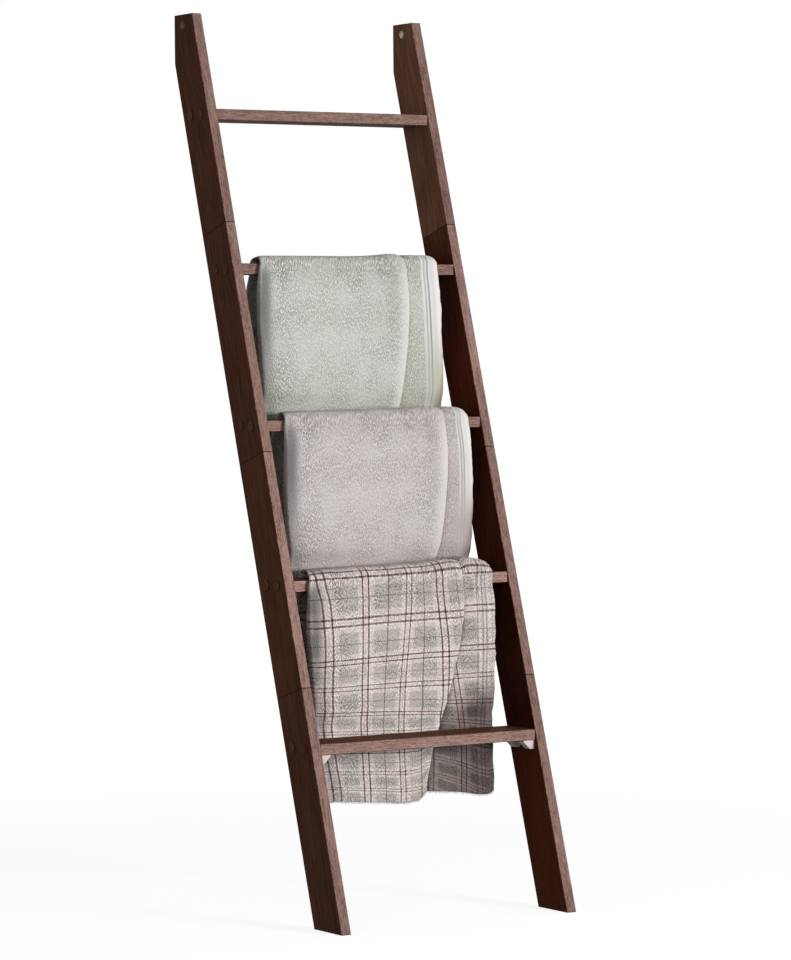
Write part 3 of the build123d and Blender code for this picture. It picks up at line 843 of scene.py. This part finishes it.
pile = {  # how the flat cloth is stretched, detail and roughness
    "fuzz": ((1100, 1100, 1), 3, 0.7),
    "leanings": ((19, 15, 1), 2, 0.6),
    "turns": ((0.32, 0.0), (-0.36, 3.7)),  # how far the nubs lean, and where their pattern starts
    "squash": (1.0, 0.42, 1.0),
    "terry": {"nubs": 560.0, "patches": ((24, 17, 1), 2, 0.55), "most": 1.1},
    "plaid": {"nubs": 640.0, "patches": ((24, 24, 1), 2, 0.55), "most": 1.2},
    "terryTint": ((12, 8, 1), 3, 0.55),
    "plaidTint": ((13, 13, 1), 3, 0.55),
    "thread": ((900, 900, 500), 3, 0.6, 0.4),
}


def attribute(tree, name):
    return made(tree, "ShaderNodeAttribute", output="Fac", attribute_name=name)


def softLines(at, lines):
    # each line has its place, its half width with and without its soft sides, and its strength
    found = 0.0
    for place, outer, inner, strength in lines:
        found = larger(eased(abs(at - place * mm), outer * mm, inner * mm) * strength, found)
    return found


def makePile(tree, uv, nubs, patches, most):
    # short looped nubs that lean one way in some patches and the other way in others, and their fuzz
    fields = []
    for turn, start in pile["turns"]:
        leaning = {"Vector": uv, "Rotation": (0, 0, turn), "Location": (start, start, 0), "Scale": pile["squash"]}
        leaning = made(tree, "ShaderNodeMapping", leaning)
        loops = {"Vector": leaning, "Scale": nubs * 0.62, "Smoothness": 0.3}
        loops = made(tree, "ShaderNodeTexVoronoi", loops, "Distance", voronoi_dimensions="2D", feature="SMOOTH_F1")
        fields.append(roughNoise(leaning, (nubs, nubs, 1), 0, 0.5) + 0.09 - loops * 0.22)
    choice = eased(roughNoise(uv, *pile["leanings"]), 0.42, 0.58)
    fuzz = roughNoise(uv, *pile["fuzz"])
    nub = eased(mixed(choice, *fields), 0.32, 0.68) * 0.85 + fuzz * 0.15
    patchy = eased(roughNoise(uv, *patches), 0.36, 0.64, 0.6, most)
    return (nub - 0.5) * (attribute(tree, "relief") * patchy), fuzz


def finishCloth(shader, color, fuzz, height, depth, sheen):
    # painted shade on the strip where the left fold turns out of the light
    color = tinted(color, cloth["turnedTone"], attribute(color.tree, "turned"))
    finishShader(shader, color, eased(fuzz, 0.3, 0.7, 0.85, 1.0), height, 1.0, depth * mm,
                 Specular_IOR_Level=0.1, Sheen_Weight=sheen, Sheen_Roughness=0.6)


def makeTerry(name, piece):
    # looped pile, with a flat woven hem that carries ribs
    material, tree, shader = newMaterial(name)
    uv = made(tree, "ShaderNodeUVMap", uv_map="flatCloth")
    height, fuzz = makePile(tree, uv, **pile["terry"])
    across, shade = attribute(tree, "fromHem"), attribute(tree, "shade")
    inShade = larger(shade, 0.0)
    hemWidth = piece["grooves"][-1][0]
    hem = eased(across, (hemWidth + 2) * mm, (hemWidth - 2) * mm)
    # painted shade in the hem's grooves: they are darker, as well as sunk by the bump
    groove = softLines(across, [(place, 1.9, 0.5, depth) for place, depth in piece["grooves"]])
    groove = groove * (1.0 - inShade * 0.8)
    base = blended(eased(roughNoise(uv, *pile["terryTint"]), 0.35, 0.65), piece["cool"], piece["warm"])
    # painted highlight: where the shade mark is below zero the pile is lighter
    tone = height * 0.8 + 0.52 - maths("MINIMUM", shade, 0.0) * 0.35
    looped = tinted(base, blended(tone, piece["dark"], piece["light"]))
    woven = tinted(base, blended(0.74 - groove * 0.8, piece["dark"], piece["hemLight"]))
    # the hem's edge goes lighter: partly its own colour, partly a painted highlight
    woven = blended(eased(across, 10.5 * mm, 6.5 * mm, 0, 0.85), woven, piece["rim"])
    color = tinted(blended(hem, looped, woven), piece["shaded"], inShade)
    finishCloth(shader, color, fuzz, mixed(hem, height, fuzz * 0.3 - groove * 2.2), 1.5, 0.25)
    return material


def makeThread(name, dark, light):
    material, tree, shader = newMaterial(name)
    strand = roughNoise(made(tree, "ShaderNodeTexCoord", output="Object"), *pile["thread"])
    color = blended(eased(strand, 0.3, 0.7), dark, light)
    finishShader(shader, color, eased(strand, 0.3, 0.7, 0.95, 0.8), strand, 0.6, 0.15 * mm, Specular_IOR_Level=0.15)
    return material


tartan = {  # widths are shares of one check, but the stripes up the side hem are in millimetres
    "across": {"salt": 0.0, "lineAt": 0.077, "bandHalf": 0.208, "lineWidth": 0.019, "beads": (120, 260, 1),
               "least": 0.8},
    "down": {"salt": 50.0, "lineAt": 0.079, "bandHalf": 0.232, "lineWidth": 0.023, "beads": (330, 120, 1),
             "least": 0.62},
    "thinWidth": 0.011, "wobble": 0.0024, "wobbleScale": 380.0,
    "hemStripes": ((6.5, 1.4, 0.56, 0.35), (17.8, 2.2, 0.88, 0.6), (25.5, 2.4, 0.96, 0.7), (36.5, 1.7, 0.68, 0.7)),
    "ground": (0.458, 0.422, 0.392, 1), "groundWarm": (0.500, 0.446, 0.428, 1), "band": (0.755, 0.675, 0.642, 1),
    "bandCore": (0.755, 0.648, 0.610, 1), "glint": (0.90, 0.84, 0.81, 1),
    "line": (0.085, 0.018, 0.015, 1), "crossing": (0.020, 0.007, 0.008, 1), "thin": (0.115, 0.085, 0.080, 1),
    "hemStripe": (0.22, 0.20, 0.20, 1), "shaded": (0.155, 0.134, 0.132, 1), "shadedBand": (0.28, 0.243, 0.240, 1),
    "napLow": (0.36, 0.35, 0.34, 1), "napHigh": (1.64, 1.64, 1.64, 1),
}


def makePlaid():
    # a napped check: cream bands with paired dark lines both ways, and one thin line between the pairs
    material, tree, shader = newMaterial("plaid blanket cloth")
    uv, checks = (made(tree, "ShaderNodeUVMap", uv_map=title) for title in ("flatCloth", "checks"))
    pitch, wobble = plaid["checks"]["pitch"] * mm, tartan["wobble"]
    shakes = {"Vector": uv, "Scale": tartan["wobbleScale"], "Detail": 2.0}
    shakes = splitUp(made(tree, "ShaderNodeTexNoise", shakes, "Color"))
    across, down = (at + shake * wobble - wobble / 2 for at, shake in list(zip(splitUp(checks), shakes))[:2])

    def checkWay(value, salt, lineAt, bandHalf, lineWidth, beads, least):
        value = value * (1 / pitch)
        fromPair = maths("PINGPONG", value, 0.5)  # 0 in the middle of a pair, 0.5 between pairs
        off = abs(fromPair - lineAt)
        line = eased(off, lineWidth * 1.45, lineWidth * 0.55)
        glint = eased(off, lineWidth * 3.0, lineWidth * 1.8)
        core = eased(fromPair, lineAt * 1.1, lineAt * 0.7)
        band = eased(fromPair, bandHalf * 1.14, bandHalf * 0.9)
        thin = eased(0.5 - fromPair, tartan["thinWidth"] * 1.6, tartan["thinWidth"] * 0.5)
        count = {"W": maths("ROUND", value * 2.0 + salt)}
        luck = made(tree, "ShaderNodeTexWhiteNoise", count, "Value", noise_dimensions="1D")
        drawn = line * eased(roughNoise(uv, beads, 2, 0.6), 0.36, 0.58, least, 1.0) * (luck * 0.15 + 0.85)
        return line, drawn, band, thin, glint, core

    lineAcross, drawnAcross, bandAcross, thinAcross, glintAcross, coreAcross = checkWay(across, **tartan["across"])
    lineDown, drawnDown, bandDown, thinDown, glintDown, coreDown = checkWay(down, **tartan["down"])
    thinAcross = thinAcross * eased(across, 0.9 * pitch, 1.1 * pitch)
    cream = bandAcross * bandDown * 0.34 + larger(bandAcross, bandDown) * 0.66
    fromHem = attribute(tree, "fromHem")
    hemBand = eased(fromHem, 36 * mm, 31 * mm) * 0.8
    color = blended(eased(roughNoise(uv, *pile["plaidTint"]), 0.35, 0.65), tartan["ground"], tartan["groundWarm"])
    for share, over in (
        (cream, blended(larger(coreAcross, coreDown), tartan["band"], tartan["bandCore"])),
        (larger(glintAcross, glintDown) * 0.4, tartan["glint"]),
        (thinAcross * 0.85, tartan["thin"]),
        (drawnAcross, tartan["line"]),
        (hemBand, tartan["band"]),
        (softLines(fromHem, tartan["hemStripes"]), tartan["hemStripe"]),
        (thinDown * 0.6, tartan["thin"]),
        (drawnDown, tartan["line"]),
        (lineDown * lineAcross * (1.0 - hemBand), tartan["crossing"]),
    ):
        color = blended(share, color, over)
    color = tinted(color, blended(cream, tartan["shaded"], tartan["shadedBand"]), attribute(tree, "shade"))
    height, fuzz = makePile(tree, uv, **pile["plaid"])
    color = tinted(color, blended(height * (0.86 - cream * 0.32) + 0.5, tartan["napLow"], tartan["napHigh"]))
    finishCloth(shader, color, fuzz, height, 1.7, 0.2)
    return material


for piece, kind in ((sage, "sage"), (rose, "rose"), (plaid, "plaid")):
    piece["cloth"] = makePlaid() if "checks" in piece else makeTerry(kind + " terry", piece)
    piece["thread"] = makeThread(kind + " thread", *piece["threadColors"])
stitchTree = makeThreadTree("seamStitches", False)
fringeTree = makeThreadTree("shortFringe", True)

for piece in (sage, rose, plaid):
    blanket = makeBlanket(piece)
    paint(blanket, piece["cloth"])
    points, way = piece["grid"]["points"], piece["grid"]["way"]
    front = int(np.argmin(np.abs(way - piece["frontDrop"] + stitch["aboveHem"])))
    rear = int(np.argmin(np.abs(way + piece["rearDrop"] + stitch["overRung"])))
    own = {"Seed": piece["seed"], "Material": piece["thread"]}
    paths = [seamDown(piece), seamAcross(piece, front, "under", 1), seamAcross(piece, front, "over"),
             seamAcross(piece, rear, "over")]
    threads = [runThreads(piece["title"] + "Stitches", stitchTree, paths, {**stitch["given"], **own})]
    if "checks" in piece:
        beside = points[(way >= fringe["sideFrom"]) & (way <= piece["frontDrop"])]
        paths = [fringePast(points[0], points[1], fringe["pastHem"], 1.0),
                 fringePast(points[-1], points[-2], fringe["pastHem"], 1.0),
                 fringePast(beside[:, 0], beside[:, 1], fringe["pastSide"], fringe["sideSize"])]
        threads.append(runThreads(piece["title"] + "Fringe", fringeTree, paths, {**fringe["given"], **own}))
    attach(blanket, piece["node"])
    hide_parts(piece["node"])
    for extra in threads:
        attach(extra, piece["node"])
    counts = ["%s %d faces" % (thing.name, len(thing.data.polygons)) for thing in [blanket] + threads]
    print("%.3f by %.3f m flat: %s" % (piece["width"], piece["length"], ", ".join(counts)))


# floor, light and camera

studio = {
    "floorSize": 40.0, "floorTone": (0.28, 0.28, 0.28, 1), "floorDrop": 0.5 * mm,
    "glowFade": (1.0, 4.0, 0.86, 1.0),  # the floor's own light, from near to far
    "ambient": 0.28,
    "lamps": {"keyLamp": ((1.85, -5.7, 1.35), 1.6, 304.0), "fillLamp": ((-3.6, -4.0, 1.3), 2.4, 36.0)},
    "aim": (0.0, 0.0, 0.85),
}
view = {
    "place": (-3.7585, -6.0670, 1.0221), "turn": 32.107, "tilt": -1.899, "roll": -0.484,
    "focal": 3879.24, "height": 960.0, "sensor": 36.0, "farthest": 60,
}


def seenDirectly(tree):
    path = outputs(tree, "ShaderNodeLightPath")
    return larger(larger(path["Is Camera Ray"], path["Is Glossy Ray"]), path["Is Transmission Ray"])


def makeFloor():
    half = studio["floorSize"] / 2
    mesh = bpy.data.meshes.new("floor")
    mesh.from_pydata([(-half, -half, 0), (half, -half, 0), (half, half, 0), (-half, half, 0)], [], [(0, 1, 2, 3)])
    floor = placed("floor", mesh)
    floor.location.z = -studio["floorDrop"]
    material, tree, shader = newMaterial("pale floor")
    tree.nodes.remove(shader)
    base = made(tree, "ShaderNodeBsdfDiffuse", {"Color": studio["floorTone"]})
    away = vectorMaths("LENGTH", made(tree, "ShaderNodeTexCoord", output="Object"), output="Value")
    glow = seenDirectly(tree) * eased(away, *studio["glowFade"])
    glow = made(tree, "ShaderNodeEmission", {"Color": (1, 1, 1, 1), "Strength": glow})
    both = made(tree, "ShaderNodeAddShader", {0: base, 1: glow})
    feed(tree.nodes["Material Output"].inputs, {"Surface": both})
    paint(floor, material)


def makeWorld():
    world = bpy.data.worlds.new("studio")
    bpy.context.scene.world = world
    world.use_nodes = True
    tree, ambient = world.node_tree, studio["ambient"]
    background = tree.nodes["Background"].inputs
    feed(background, {"Strength": seenDirectly(tree) * (1.0 - ambient) + ambient})
    background["Color"].default_value = (1, 1, 1, 1)


def makeLamp(name, place, size, power):
    lamp = bpy.data.lights.new(name, "AREA")
    lamp.size = size
    lamp.energy = power
    holder = placed(name, lamp)
    holder.location = place
    holder.rotation_euler = (Vector(studio["aim"]) - Vector(place)).to_track_quat("-Z", "Y").to_euler()


def makeCamera():
    lens = bpy.data.cameras.new("camera")
    lens.sensor_width = view["sensor"]
    lens.lens = view["sensor"] * view["focal"] / view["height"]
    lens.clip_end = view["farthest"]
    camera = placed("camera", lens)
    turn = Matrix.Rotation(math.radians(-view["turn"]), 4, "Z")
    tilt = Matrix.Rotation(math.radians(90 + view["tilt"]), 4, "X")
    roll = Matrix.Rotation(math.radians(view["roll"]), 4, "Z")
    camera.matrix_world = Matrix.Translation(view["place"]) @ turn @ tilt @ roll
    bpy.context.scene.camera = camera


makeFloor()
makeWorld()
for name, settings in studio["lamps"].items():
    makeLamp(name, *settings)
makeCamera()
bpy.context.scene.view_settings.view_transform = "Standard"
print("studio: ready")
